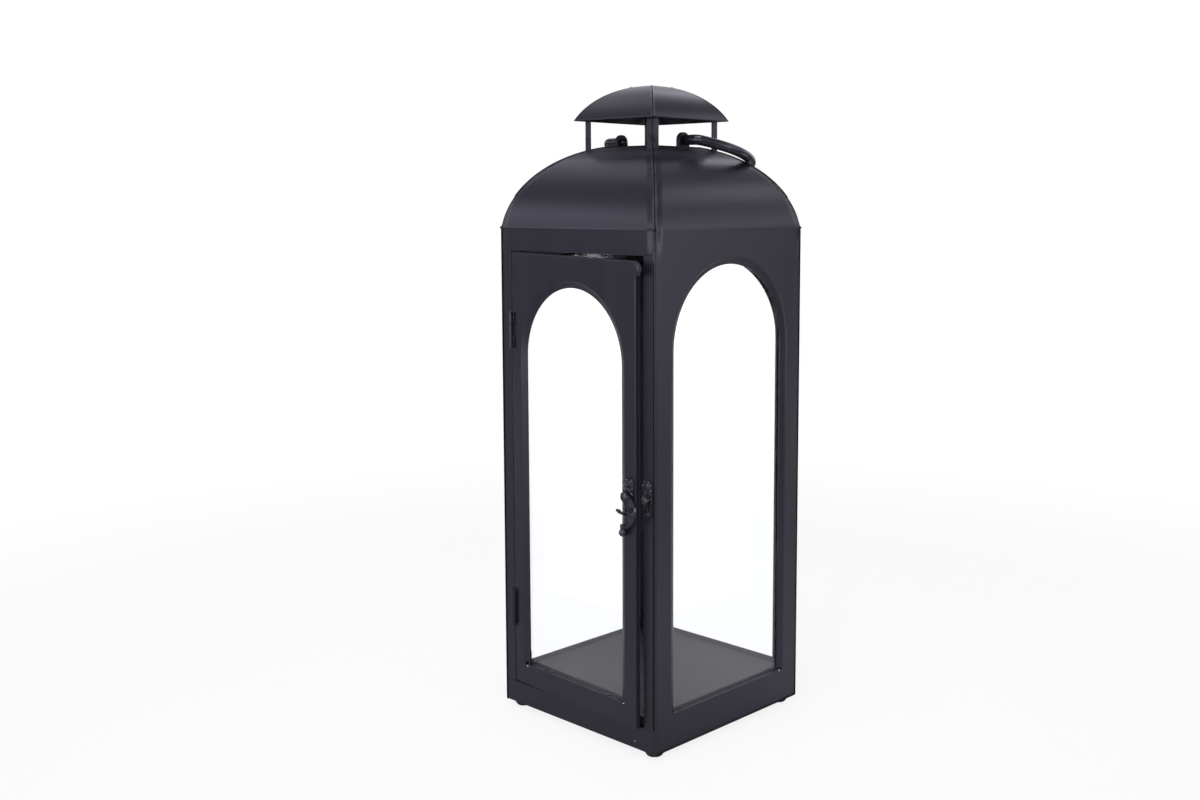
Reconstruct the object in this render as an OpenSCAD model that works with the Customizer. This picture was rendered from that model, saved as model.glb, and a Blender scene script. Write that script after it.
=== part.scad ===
// Tall candle lantern in folded sheet steel: four walls that curve in to a domed top, an open
// cupola with a square cap, arched windows with pressed-in lips, a hinged glazed door with a
// swing-over hook latch, and a ring handle that lies back on the dome.
// Millimetres. +Z is up, the door faces -Y, and Z = 0 is the floor under the feet.

/* [Body] */
// Outside width and depth of the body
body_w = 200; // [190:1:240]
// Height of the flat walls, from their bottom edge to the crease where the dome starts
wall_h = 458; // [450:1:600]
// Thickness of the steel sheet
sheet_t = 1.2; // [0.8:0.1:1.5]
// Width of the edge that is folded in under each wall
base_return = 22; // [20:1:30]
// Gap between sheets that are welded edge to edge
seam = 0.2; // [0.1:0.05:0.3]
// Height of the candle floor's top above the walls' bottom edge
floor_h = 28.5; // [28:0.5:29]
// Distance from the body's sides to the ends of the candle floor's skirts
skirt_inset = 15; // [15:1:50]

/* [Dome] */
// Radius of the dome panels' curve
dome_r = 88; // [88:1:110]
// How far in from the wall's face the centre of that curve lies
dome_reach = 87.3; // [80:0.1:87.5]
// Width of the square vent hole in the top of the dome
vent_w = 64; // [50:1:66]

/* [Windows] */
// Width of the wall's sheet on each side of its window
rail_w = 26.5; // [26:0.5:40]
// Height of the windows' clear bottom edge
win_sill = 32; // [32:0.5:60]
// Height of the top of the windows' arch
win_top = 427; // [370:0.5:430]
// Width of the lip that is pressed in along each window's sides and arch
lip_w = 6; // [5:0.5:7]
// Depth that the lip is pressed in
lip_d = 2.8; // [2:0.1:3]
// Radius of the relief hole at the foot of each lip
relief_r = 1.6; // [1:0.1:2]

/* [Glass] */
// Thickness of the panes
glass_t = 2.2; // [2:0.1:3]
// Overlap of each pane behind its lip
glass_lap = 3.5; // [3:0.1:4]
// Length of one glass clip
clip_len = 10; // [8:1:14]
// Thickness of the clips' strip
clip_t = 0.8; // [0.6:0.1:1]

/* [Door frame] */
// Width of the stile on each side of the door
stile_w = 13.7; // [12:0.1:16]
// Height of the sill under the door
sill_h = 21; // [18:0.5:22]
// Height of the flat strip of the hood, over the door
hood_drop = 21; // [18:0.5:24]

/* [Door] */
// Gap between the door and the hinge stile
gap_hinge = 1; // [0.8:0.1:1.5]
// Gap between the door and the latch stile
gap_latch = 1.8; // [1:0.1:2.5]
// Gap between the door and the sill
gap_sill = 1.2; // [0.5:0.1:1.5]
// Gap between the door and the hood, at the hinge side
gap_hood = 1.4; // [1:0.1:3]
// How much lower the door's top edge is at the latch side
top_drop = 3; // [0:0.5:4]
// Depth of the door's folded edges
door_return = 5; // [4.5:0.1:5.2]
// Width of the door's sheet between its hinge edge and its window
door_rail_w = 18.2; // [18:0.1:30]
// Width of the door's sheet between its latch edge and its window
latch_rail_w = 20.4; // [20:0.1:30]
// Height of the door window's clear bottom edge
door_win_sill = 42.3; // [41:0.1:60]
// Height of the top of the door window's arch
door_win_top = 405.5; // [350:0.5:407]
// Angle at which the door stands ajar, in degrees
ajar = 2.6; // [2:0.1:8]
// Width of the stop tab at the door's top corner
tab_w = 14.5; // [13:0.1:16]
// Height of the stop tab
tab_h = 11.5; // [10:0.1:14]
// Length of the tab that laps over the stile
tab_lap = 6.3; // [4:0.1:8]

/* [Hinges] */
// Length of each hinge with its pin heads
hinge_h = 36.5; // [34:0.5:42]
// Height of the middle of the lower hinge
hinge_low = 95.5; // [80:0.5:140]
// Height of the middle of the upper hinge
hinge_high = 362; // [320:0.5:380]
// Diameter of the hinge barrel
barrel_d = 4.8; // [4.6:0.1:5]
// Diameter of the hinge pin
pin_d = 2.4; // [2:0.1:2.6]
// How far the barrel's axis lies in front of the door frame
axis_out = 1.2; // [1.1:0.1:1.3]
// Height of one pin head
pin_head_h = 1.2; // [0.8:0.1:1.6]

/* [Latch] */
// Height of the hook's pivot above the walls' bottom edge
latch_h = 229; // [180:1:280]
// Distance from the body's side to the keeper post
post_inset = 5.4; // [5:0.1:6]
// Distance from the hook's pivot to the keeper post
hook_reach = 19.6; // [19.3:0.1:19.8]
// Thickness of the hook
hook_t = 2.5; // [2:0.1:2.8]
// Radius of the round outside of the hook
hook_r = 15.4; // [15:0.1:15.8]
// Radius of the ball at the hook's end
ball_r = 3.6; // [3:0.1:3.7]
// Width of the thumb tongue
tongue_w = 4.6; // [4:0.1:6]
// Thickness of the latch plate and of the keeper plate
latch_plate_t = 1.5; // [1.2:0.1:1.6]
// Radius of the keeper post's neck
post_neck_r = 2; // [1.8:0.1:2.1]
// Radius of the keeper post's head
post_head_r = 3.3; // [3:0.1:3.5]

/* [Cupola and cap] */
// Distance from the cap's rim in to the straps that carry it
strap_inset = 7; // [6:0.1:10]
// Width of one strap
strap_w = 6.5; // [5:0.1:7]
// Gap between each strap and the corner
strap_gap = 1.3; // [1:0.1:2]
// Height of the cap from its rim to its top
cap_rise = 32.4; // [28:0.2:36]
// Width of the cap over its rim
cap_w = 102.8; // [98:0.2:105]
// Height of the cap's rim above the dome's crease
cap_rim_h = 99.5; // [98:0.5:110]

/* [Handle] */
// Radius of the ring handle, at the middle of its tube
ring_r = 70; // [69.5:0.5:72]
// Diameter of the ring's tube
ring_d = 9.4; // [8:0.1:9.6]
// Distance from the handle's pivot line to the ring's centre
ring_offset = 39; // [38:0.5:40]
// Bend radius where the ring's ends turn in to the ears
ring_bend = 8; // [7:0.5:9]
// Length of the straight run between the ring's curve and each bend
ring_run = 2; // [1:0.5:4]
// Angle at which the ring lies back on the dome, below level, in degrees
ring_lie = 12.8; // [11:0.1:12.9]
// Height of the pivot line above the dome's crease
pivot_rise = 80.5; // [80.5:0.5:84]
// Distance from the centre plane to the middle of an ear
ear_x = 40; // [38:0.5:42]
// Width of an ear
ear_w = 14.5; // [13:0.5:17]
// Thickness of an ear
ear_t = 4; // [3:0.1:5]
// Diameter of the handle's ends where they pass through the ears
tenon_d = 6; // [5:0.1:6.5]
// Radial clearance of the handle's ends in the ears
ear_clear = 0.1; // [0.05:0.01:0.1]

/* [Feet] */
// Radius of a foot
foot_r = 9.3; // [8:0.1:10]
// Height of a foot
foot_h = 5.5; // [5:0.1:7]
// Radius of a foot's flat bottom
foot_flat_r = 6.5; // [6.2:0.1:7]
// Distance from the body's faces to a foot's centre
foot_inset = 12; // [11:0.1:12.5]
// Radius of a foot's rivet
rivet_r = 2; // [1.8:0.1:2.2]

/* [Hidden] */
$fn = 48;

half = body_w / 2;
inner_w = body_w - 2 * (sheet_t + seam);   // width of the sheets that stand between the side walls
crease_z = foot_h + wall_h;
// centre of the dome's curve, placed so that the curve meets the wall's face at the crease
dome_z = crease_z - sqrt(dome_r * dome_r - dome_reach * dome_reach);
floor_z = foot_h + floor_h;
floor_edge = lip_d + sheet_t + 0.5;        // the panes stand on the floor's side edges
floor_edge_front = door_return + 1;        // clear of the door's folded edges
skirt_len = body_w - 2 * skirt_inset;
skirt_top = 14;                            // the skirts' joggle, measured down from the floor's top
skirt_joggle = 4;
skirt_foot = 7;                            // height of the strip that lies against the wall
win_w = body_w - 2 * rail_w;               // clear width of the wall windows and of their arch
win_spring = win_top - win_w / 2;          // height at which the arch starts
sill_z = foot_h + sill_h;
hood_z = crease_z - hood_drop;
opening_half = half - stile_w;
glass_front = lip_d + sheet_t;             // depth of the panes' front face
glass_back = glass_front + glass_t;

door_x0 = -opening_half + gap_hinge;
door_x1 = opening_half - gap_latch;
door_z0 = sill_z + gap_sill;
door_z1 = hood_z - gap_hood;
door_win_w = door_x1 - door_x0 - door_rail_w - latch_rail_w;
door_win_x = door_x0 + door_rail_w + door_win_w / 2;
door_win_spring = door_win_top - door_win_w / 2;
clip_inset = 10;                           // from a pane's foot, and from the arch's top, to its clips
bottom_clip_inset = 25.5;
clip_lap = 2;                              // how far a clip's tip lies over the pane
sheet_lap = 0.5;                           // strip of sheet that is drawn with a lip, to join the two

axis_x = -opening_half + 0.1;              // hinge axis, in line with the stile's edge
barrel_r = barrel_d / 2;
stile_slot_gap = 0.2;                      // clearance beside the barrel in the stile's slots
door_slot_gap = 3.4;                       // and in the door's, where the leaf's web passes
slot_h = hinge_h + 0.6;
knuckle_gap = 0.25;
knuckle_h = (hinge_h - 2 * pin_head_h - 2 * knuckle_gap) / 3;
frame_leaf_w = 9;

latch_z = foot_h + latch_h;
post_x = half - post_inset;
latch_x = post_x - hook_reach;
post_z = latch_z - 1;
hook_y = latch_plate_t + 1.3;              // how far the hook's back is in front of the door
eye_r = 4.5;
pivot_r = 1.6;
hook_centre = [-1.7, -12.6];               // centre of the hook's round outside, from its pivot
ball_at = [hook_centre[0] - 0.8, hook_centre[1] - hook_r - 3.8];
recess_at = [1, -hook_reach - 1];          // the hook's lower recess, which takes the post
recess_r = post_neck_r + 2.3;
bar_h = 3.2;                               // height of the hook's cross bar, and its underside
bar_z = recess_at[1] + recess_r + 0.1;
tongue_bend = 10.4;                        // radius and turn of the thumb tongue's curve
tongue_turn = 62;
tongue_t = 1.8;

strap_half = cap_w / 2 - strap_inset;      // half width over the straps
cap_z0 = crease_z + cap_rim_h;
cap_r = (cap_w * cap_w / 4 + cap_rise * cap_rise) / (2 * cap_rise);   // radius of its curve
cap_axis_z = cap_z0 + cap_rise - cap_r;

pivot_z = crease_z + pivot_rise;
// angle below the ring's centre line at which its curve ends, so that curve, run, bend and end
// follow on smoothly
ring_end = asin((ring_offset - ring_bend) / norm([ring_r - ring_bend, ring_run]))
  - atan(ring_run / (ring_r - ring_bend));
bend_x = (ring_r - ring_bend) * cos(ring_end) - ring_run * sin(ring_end);
end_cap_r = 3.9;
end_cap_h = 4.5;

foot_z = foot_ball_z();
foot_at = half - foot_inset;

steel = [0.17, 0.17, 0.19];
iron = [0.12, 0.12, 0.13];
glass = [0.8, 0.88, 0.9, 0.3];
rubber = [0.08, 0.08, 0.08];

// Height of the centre of the sphere that a foot is cut from.
function foot_ball_z() =
  (foot_r * foot_r + foot_h * foot_h - foot_flat_r * foot_flat_r) / (2 * foot_h);

// ---- placing ----

// Puts a piece drawn for the front face (outer face at y = 0, depth towards +Y) on face n.
// 0 is the front, 1 the right, 2 the back and 3 the left.
module on_face(n) rotate([0, 0, 90 * n]) translate([0, -half, 0]) children();

// Turns what belongs to the door about its hinge axis, from closed to ajar.
module on_door()
  translate([axis_x, -half - axis_out, 0]) rotate([0, 0, -ajar])
    translate([-axis_x, half + axis_out, 0]) children();

// Extrudes an (x, z) outline from depth y0 to depth y0 + t.
module slab(y0, t) translate([0, y0 + t, 0]) rotate([90, 0, 0]) linear_extrude(t) children();

// Extrudes a (depth, z) outline along x, centred.
module run_x(len) rotate([90, 0, 90]) translate([0, 0, -len / 2]) linear_extrude(len) children();

// The part of the plan that belongs to one face, up to its mitred corners.
module mitre(z0, z1)
  translate([0, 0, z0]) linear_extrude(z1 - z0) polygon([[-half, 0], [half, 0], [0, half]]);

// ---- windows ----

// Arched outline: straight sides up to the spring line, and a half circle.
module arch_outline(hw, sill, spring) {
  translate([-hw, sill]) square([2 * hw, spring - sill]);
  translate([0, spring]) circle(hw, $fn = 96);
}

// Section of the pressed lip, with a strip of the flat sheet: across the face, then in depth.
module lip_section(hw, way = 1)
  polygon([[hw, way * lip_d], [hw + lip_w, 0], [hw + lip_w + sheet_lap, 0],
           [hw + lip_w + sheet_lap, way * sheet_t], [hw + lip_w, way * sheet_t],
           [hw, way * (lip_d + sheet_t)]]);

// The lip along a window's sides and arch. The window's foot is a plain cut edge.
module window_lip(hw, sill, spring) {
  translate([0, 0, spring]) rotate([90, 0, 0])
    rotate_extrude(angle = 180, $fn = 96) lip_section(hw, -1);
  for (s = [0, 1]) mirror([s, 0, 0])
    translate([0, 0, sill]) linear_extrude(spring - sill) lip_section(hw);
}

// Cuts a window through a flat sheet (the first child) and presses its lip.
module with_window(hw, sill, spring)
  difference() {
    union() {
      difference() {
        children();
        slab(-1, 2 * glass_front) arch_outline(hw + lip_w, sill, spring);
      }
      window_lip(hw, sill, spring);
    }
    for (s = [-1, 1])
      slab(-1, 2 * glass_front + 1) translate([s * (hw + lip_w / 2), sill]) circle(relief_r);
  }

// A pane that covers a window with its lap, from a given bottom height.
module pane(hw, bottom, spring)
  slab(glass_front, glass_t)
    translate([-hw - glass_lap, bottom])
      square([2 * (hw + glass_lap), spring + hw + glass_lap - bottom]);

// Section of a glass clip: its foot on the sheet, its web past the pane's edge, its tip on the
// pane's back. x is the distance from the pane's edge, outwards.
module clip_section()
  polygon([[12, sheet_t], [5, sheet_t], [0.4, glass_back], [-clip_lap, glass_back],
           [-clip_lap, glass_back + clip_t], [0.9, glass_back + clip_t],
           [5.4, sheet_t + clip_t], [12, sheet_t + clip_t]]);

// Clips low and high on both sides of a pane that stands at a given height, and one over its top.
module pane_clips(hw, bottom, spring) {
  edge = hw + glass_lap;
  for (s = [0, 1], z = [bottom + clip_inset, spring + hw - clip_inset])
    mirror([s, 0, 0]) translate([edge, 0, z - clip_len / 2]) linear_extrude(clip_len)
      clip_section();
  translate([0, 0, spring]) rotate([0, -90, 0]) translate([edge, 0, -clip_len / 2])
    linear_extrude(clip_len) clip_section();
}

// ---- walls ----

// Section of a curved dome panel in (depth, z), from the crease up to the vent hole.
module dome_band()
  intersection() {
    translate([dome_reach, dome_z]) difference() {
      circle(dome_r, $fn = 180);
      circle(dome_r - sheet_t, $fn = 180);
    }
    translate([0, crease_z]) square([half - vent_w / 2, dome_r * 2]);
  }

// Bores for the feet's rivets, through the folded bottom edges.
module foot_bores(r)
  for (x = [-1, 1], y = [-1, 1])
    translate([x * foot_at, y * foot_at, 0]) cylinder(r = r, h = floor_z - 5);

// Curved dome panel of face n, mitred into its neighbours.
module dome_panel(n)
  on_face(n) intersection() {
    run_x(body_w) dome_band();
    mitre(crease_z, crease_z + dome_r);
  }

// Edge folded in under face n, mitred into its neighbours. The flat sheet above it is width wide.
module folded_edge(n, width)
  difference() {
    on_face(n) intersection() {
      run_x(width) translate([0, foot_h]) square([base_return, sheet_t]);
      mitre(0, crease_z);
    }
    foot_bores(rivet_r + 0.1);
  }

// A wall with its window, its dome panel and its folded edge.
module wall(n, width) {
  on_face(n)
    with_window(win_w / 2, foot_h + win_sill, foot_h + win_spring)
      slab(0, sheet_t) translate([-width / 2, foot_h]) square([width, wall_h]);
  dome_panel(n);
  folded_edge(n, width);
}

module right_wall() color(steel) wall(1, body_w);
module back_wall() color(steel) wall(2, inner_w);
module left_wall() color(steel) wall(3, body_w);

// The front dome panel, with the strip that closes the front over the door.
module door_hood()
  color(steel) {
    dome_panel(0);
    on_face(0) slab(0, sheet_t) translate([-inner_w / 2, hood_z]) square([inner_w, hood_drop]);
  }

// The front's bottom strip, with its folded bottom edge.
module door_sill()
  color(steel) {
    on_face(0) slab(0, sheet_t) translate([-inner_w / 2, foot_h]) square([inner_w, sill_h]);
    folded_edge(0, inner_w);
  }

// Upright strip beside the door: x0 and x1 are its edges.
module stile(x0, x1)
  on_face(0) slab(0, sheet_t)
    translate([x0, sill_z + seam]) square([x1 - x0, hood_z - sill_z - 2 * seam]);

// Slots for both hinges, between two places across the front.
module hinge_slots(x0, x1)
  for (z = [hinge_low, hinge_high])
    translate([x0, -1, foot_h + z - slot_h / 2]) cube([x1 - x0, door_return + 2, slot_h]);

module hinge_stile()
  color(steel) difference() {
    stile(-inner_w / 2, -opening_half);
    on_face(0) hinge_slots(axis_x - barrel_r - stile_slot_gap, axis_x);
  }

module latch_stile() color(steel) stile(opening_half, inner_w / 2);

// One skirt of the candle floor in (depth, z): down from the floor's edge, then joggled out flat
// against the wall.
module skirt_section(edge) {
  z0 = floor_z - skirt_top;
  z1 = z0 - skirt_joggle;
  polygon([[edge, floor_z - sheet_t], [edge, z0], [sheet_t, z1], [sheet_t, z1 - skirt_foot],
           [2 * sheet_t, z1 - skirt_foot], [2 * sheet_t, z1 + sheet_t / 2],
           [edge + sheet_t, z0 + sheet_t / 2], [edge + sheet_t, floor_z - sheet_t]]);
}

// The tray that the candle stands on, with a skirt down each side.
module candle_floor()
  color(steel) {
    translate([-half + floor_edge, -half + floor_edge_front, floor_z - sheet_t])
      cube([body_w - 2 * floor_edge, body_w - floor_edge - floor_edge_front, sheet_t]);
    on_face(0) run_x(skirt_len) skirt_section(floor_edge_front);
    for (n = [1, 2, 3]) on_face(n) run_x(skirt_len) skirt_section(floor_edge);
  }

// Square plates that tie the folded bottom edges together in the corners.
module corner_plates()
  color(steel) difference() {
    for (n = [0:3]) rotate([0, 0, 90 * n])
      translate([foot_at - 14, foot_at - 14, foot_h + sheet_t])
        cube([14 + foot_inset - 2.4 - seam, 14 + foot_inset - 2.4 - seam, 1.6]);
    foot_bores(rivet_r + 0.1);
  }

// ---- fixed glass ----

module right_glass() color(glass) on_face(1) pane(win_w / 2, floor_z, foot_h + win_spring);
module back_glass() color(glass) on_face(2) pane(win_w / 2, floor_z, foot_h + win_spring);
module left_glass() color(glass) on_face(3) pane(win_w / 2, floor_z, foot_h + win_spring);

module wall_glass_clips()
  color(iron) for (n = [1, 2, 3])
    on_face(n) pane_clips(win_w / 2, floor_z, foot_h + win_spring);

// ---- cupola and cap ----

// Strap on face n, at its +x corner (s = 1) or its -x corner (s = -1), cut to stand on the dome
// and to end under the cap.
module strap(n, s)
  on_face(n) intersection() {
    difference() {
      translate([s * (strap_half - strap_gap - strap_w / 2), half - strap_half + sheet_t / 2, 0])
        translate([-strap_w / 2, -sheet_t / 2, crease_z]) cube([strap_w, sheet_t, dome_r * 2]);
      run_x(body_w) translate([dome_reach, dome_z]) circle(dome_r, $fn = 180);
    }
    run_x(body_w) translate([half, cap_axis_z]) circle(cap_r - sheet_t, $fn = 180);
  }

// The two straps of the corner between face n and the next face.
module cupola_post(n)
  color(steel) {
    strap(n, 1);
    strap((n + 1) % 4, -1);
  }

// One curved panel of the cap, mitred into its neighbours.
module cap_panel(n)
  color(steel) on_face(n) intersection() {
    run_x(body_w) intersection() {
      translate([half, cap_axis_z]) difference() {
        circle(cap_r, $fn = 120);
        circle(cap_r - sheet_t, $fn = 120);
      }
      translate([half - cap_w / 2, cap_z0]) square([cap_w / 2, cap_r]);
    }
    mitre(cap_z0, cap_z0 + cap_r);
  }

// ---- handle ----

// Ear on the dome panel of face n, with the bore for the handle's end.
module ear(n)
  color(iron) on_face(n) difference() {
    translate([0, half - ear_x, 0]) slab(-ear_t / 2, ear_t) difference() {
      union() {
        translate([0, pivot_z]) circle(ear_w / 2);
        translate([-ear_w / 2, crease_z]) square([ear_w, pivot_z - crease_z]);
      }
      translate([0, pivot_z]) circle(tenon_d / 2 + ear_clear);
    }
    run_x(body_w) translate([dome_reach, dome_z]) circle(dome_r, $fn = 180);
  }

// Puts what is drawn flat in the ring's own plane (x along the pivot line, y to the ring's far
// side) on the pivot line, lying back on the dome.
module on_handle() translate([0, 0, pivot_z]) rotate([-ring_lie, 0, 0]) children();

// Everything on one side of the ring: the run, the bend, the end and its tenon through the ear.
module ring_side() {
  end_x = ear_x + ear_t / 2 + 0.3;
  at_ring_end() translate([ring_r, 0, 0]) rotate([90, 0, 0])
    cylinder(d = ring_d, h = ring_run, $fn = 32);
  translate([bend_x, ring_bend, 0]) rotate([0, 0, -90])
    rotate_extrude(angle = 90 - ring_end, $fn = 48)
      translate([ring_bend, 0]) circle(ring_d / 2, $fn = 32);
  translate([end_x, 0, 0]) rotate([0, 90, 0]) cylinder(d = ring_d, h = bend_x - end_x, $fn = 32);
  translate([ear_x - ear_t / 2 - 0.3, 0, 0]) rotate([0, 90, 0])
    cylinder(d = tenon_d, h = ear_t + 3, $fn = 32);
}

module at_ring_end() translate([0, ring_offset, 0]) rotate([0, 0, -ring_end]) children();

// Tube ring, open at the front, whose ends turn in along the pivot line and pass the ears.
module handle_ring()
  color(iron) on_handle() {
    difference() {
      translate([0, ring_offset, 0])
        rotate_extrude($fn = 120) translate([ring_r, 0]) circle(ring_d / 2, $fn = 32);
      for (s = [0, 1]) mirror([s, 0, 0])
        at_ring_end() translate([0, -2 * ring_r, -ring_d]) cube([2 * ring_r, 2 * ring_r, 2 * ring_d]);
    }
    for (s = [0, 1]) mirror([s, 0, 0]) ring_side();
  }

// Domed caps that close the handle's ends inside the ears.
module handle_end_caps()
  color(iron) on_handle() for (s = [0, 1]) mirror([s, 0, 0])
    translate([ear_x - ear_t / 2 - 0.3, 0, 0]) rotate([0, -90, 0]) {
      cylinder(r = end_cap_r, h = end_cap_h - end_cap_r / 2);
      intersection() {
        translate([0, 0, end_cap_h - end_cap_r]) sphere(end_cap_r);
        cylinder(r = end_cap_r, h = end_cap_h);
      }
    }

// ---- feet ----

// Puts a piece drawn on the Z axis in corner n: 0 front right, 1 back right, 2 back left.
module in_corner(n) rotate([0, 0, 90 * n]) translate([foot_at, -foot_at, 0]) children();

// Domed button foot with a recess for its rivet.
module foot(n)
  color(rubber) in_corner(n) difference() {
    intersection() {
      translate([0, 0, foot_z]) sphere(norm([foot_flat_r, foot_z]), $fn = 64);
      cylinder(r = foot_r + 1, h = foot_h);
    }
    translate([0, 0, -1]) cylinder(r = 2 * rivet_r + 0.4, h = 3.2);
    cylinder(r = rivet_r + 0.1, h = foot_h + 1);
  }

// A rivet through each foot, the folded edges and the corner plate.
module foot_rivets()
  color(iron) for (n = [0:3]) in_corner(n) {
    translate([0, 0, 0.7]) cylinder(r = 2 * rivet_r, h = 1.5);
    translate([0, 0, 0.7]) cylinder(r = rivet_r, h = foot_h + sheet_t + 2);
    translate([0, 0, foot_h + sheet_t + 1.6]) cylinder(r = 1.7 * rivet_r, h = 1.2);
  }

// ---- hinges ----

// Hinge leaf: knuckles at the given heights on the barrel's axis, with a web that passes the slot
// and a plate of a given width behind the sheet. way is 1 for the door's leaf and -1 for the
// frame's.
module leaf(middle, spans, way, width)
  translate([axis_x, -axis_out, foot_h + middle]) difference() {
    union() {
      for (span = spans)
        translate([0, 0, span[0]]) linear_extrude(span[1] - span[0]) {
          circle(barrel_r);
          mirror([way < 0 ? 1 : 0, 0])
            translate([barrel_r - sheet_t, 0]) square([sheet_t, axis_out + 2 * sheet_t]);
        }
      mirror([way < 0 ? 1 : 0, 0, 0])
        translate([barrel_r - sheet_t, axis_out + sheet_t, -hinge_h / 2 + pin_head_h])
          cube([width, sheet_t, hinge_h - 2 * pin_head_h]);
    }
    translate([0, 0, -hinge_h]) cylinder(d = pin_d + 0.1, h = 2 * hinge_h, $fn = 24);
  }

outer_spans = [for (s = [-1, 1]) [min(s * (knuckle_h / 2 + knuckle_gap),
                                      s * (knuckle_h * 1.5 + knuckle_gap)),
                                  max(s * (knuckle_h / 2 + knuckle_gap),
                                      s * (knuckle_h * 1.5 + knuckle_gap))]];
middle_span = [[-knuckle_h / 2, knuckle_h / 2]];
// the door's leaf ends just short of the window's lip
door_leaf_w = door_x0 + door_rail_w - lip_w - 0.2 - (axis_x + barrel_r - sheet_t);

module lower_frame_leaf()
  color(iron) on_face(0) leaf(hinge_low, outer_spans, -1, frame_leaf_w);
module upper_frame_leaf()
  color(iron) on_face(0) leaf(hinge_high, outer_spans, -1, frame_leaf_w);
module lower_door_leaf()
  color(iron) on_door() on_face(0) leaf(hinge_low, middle_span, 1, door_leaf_w);
module upper_door_leaf()
  color(iron) on_door() on_face(0) leaf(hinge_high, middle_span, 1, door_leaf_w);

// Pin through the knuckles, with a head at each end.
module hinge_pin(middle)
  color(iron) on_face(0) translate([axis_x, -axis_out, foot_h + middle - hinge_h / 2]) {
    cylinder(d = pin_d, h = hinge_h, $fn = 24);
    for (z = [0, hinge_h - pin_head_h])
      translate([0, 0, z]) cylinder(d = barrel_d - 0.4, h = pin_head_h, $fn = 24);
  }

module lower_hinge_pin() hinge_pin(hinge_low);
module upper_hinge_pin() hinge_pin(hinge_high);

// ---- door ----

// The door's outline, drawn in by a margin. Its top edge falls towards the latch side.
module door_outline(margin)
  polygon([[door_x0 + margin, door_z0 + margin], [door_x1 - margin, door_z0 + margin],
           [door_x1 - margin, door_z1 - top_drop - margin], [door_x0 + margin, door_z1 - margin]]);

// Pressed door sheet: folded edges, an arched window with its lip, and two hinge slots.
module door_panel()
  color(steel) on_door() on_face(0) difference() {
    union() {
      translate([door_win_x, 0, 0])
        with_window(door_win_w / 2, foot_h + door_win_sill, foot_h + door_win_spring)
          translate([-door_win_x, 0, 0]) slab(0, sheet_t) door_outline(0);
      slab(0, door_return) difference() {
        door_outline(0);
        door_outline(sheet_t);
      }
    }
    hinge_slots(axis_x, axis_x + barrel_r + door_slot_gap);
  }

module door_glass()
  color(glass) on_door() on_face(0) translate([door_win_x, 0, 0])
    pane(door_win_w / 2, foot_h + door_win_sill - glass_lap, foot_h + door_win_spring);

module door_glass_clips()
  color(iron) on_door() on_face(0) translate([door_win_x, 0, 0]) {
    pane_clips(door_win_w / 2, foot_h + door_win_sill - glass_lap, foot_h + door_win_spring);
    for (s = [-1, 1])
      translate([s * (door_win_w / 2 - bottom_clip_inset), 0, foot_h + door_win_sill - glass_lap])
        rotate([0, 90, 0])
        translate([0, 0, -clip_len / 2]) linear_extrude(clip_len) clip_section();
  }

// Tab on the door's face that laps over the latch stile and stops the door.
module door_stop_tab()
  color(steel) on_door() on_face(0) slab(-sheet_t, sheet_t) {
    x1 = opening_half + tab_lap;
    z1 = door_z1 - top_drop - 1;
    r = tab_h * 0.45;
    translate([x1 - tab_w, z1 - tab_h]) square([tab_w - r, tab_h]);
    translate([x1 - tab_w, z1 - tab_h + r]) square([tab_w, tab_h - 2 * r]);
    for (z = [z1 - r, z1 - tab_h + r]) translate([x1 - r, z]) circle(r);
  }

// ---- latch ----

// Cast plate on the door that carries the hook: a leaf shape with three lobes over the pivot.
module latch_plate()
  color(iron) on_door() on_face(0) slab(-latch_plate_t, latch_plate_t)
    translate([latch_x, latch_z]) {
      circle(5.4);
      translate([-1.2, 4]) square([8, 9]);
      for (p = [[1.4, 13.6], [5.2, 12.6]]) translate(p) circle(3.6);
      translate([3, 8]) circle(5.3);
    }

module latch_rivets()
  color(iron) on_door() on_face(0) for (p = [[0.8, 9.6], [4.8, 13.4]])
    translate([latch_x + p[0], -latch_plate_t, latch_z + p[1]]) rotate([90, 0, 0])
      cylinder(r1 = 1.7, r2 = 1.1, h = 0.9, $fn = 24);

// Stud that the hook turns on: a collar on the plate, the bearing and a head.
module hook_pivot()
  color(iron) on_door() on_face(0)
    translate([latch_x, -latch_plate_t, latch_z]) rotate([90, 0, 0]) {
      cylinder(r = eye_r - 0.7, h = hook_y - latch_plate_t - 0.05);
      cylinder(r = pivot_r, h = hook_y - latch_plate_t + hook_t + 1.2);
      translate([0, 0, hook_y - latch_plate_t + hook_t + 0.1])
        cylinder(r1 = 3.4, r2 = 2.4, h = 1.4);
    }

// A sector of a flat ring, between two radii and two angles.
module sector(r0, r1, a0, a1)
  intersection() {
    difference() {
      circle(r1, $fn = 96);
      circle(r0, $fn = 96);
    }
    polygon(concat([[0, 0]], [for (i = [0:4]) let(a = a0 + (a1 - a0) * i / 4)
                                2 * r1 * [cos(a), sin(a)]]));
  }

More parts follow.
